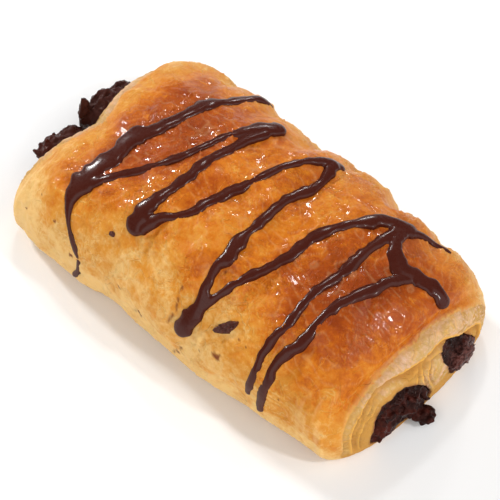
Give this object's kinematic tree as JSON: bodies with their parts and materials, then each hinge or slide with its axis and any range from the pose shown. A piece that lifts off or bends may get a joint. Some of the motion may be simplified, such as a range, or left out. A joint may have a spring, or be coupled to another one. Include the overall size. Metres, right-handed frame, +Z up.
{
  "type": "pain au chocolat",
  "caption": "Baked roll of flaky laminated dough with chocolate fillings running through it and dark chocolate drizzled over its glossy crust.",
  "frame": {"origin": "middle of the whole in plan, on the plane that the roll rests on", "axes": "+X along the roll to the end with the open dough layers, +Y across it, +Z up"},
  "size_m": [0.1561, 0.0837, 0.044],
  "materials": {
    "crust": "egg-washed, glossy, browned unevenly, with pale dough layers at both ends and dark chocolate drizzle",
    "filling": "crumbly baked chocolate, satin"
  },
  "bodies": {
    "root": {"pastry": "crust", "filling_near": "filling", "filling_far": "filling"}
  },
  "joints": []
}
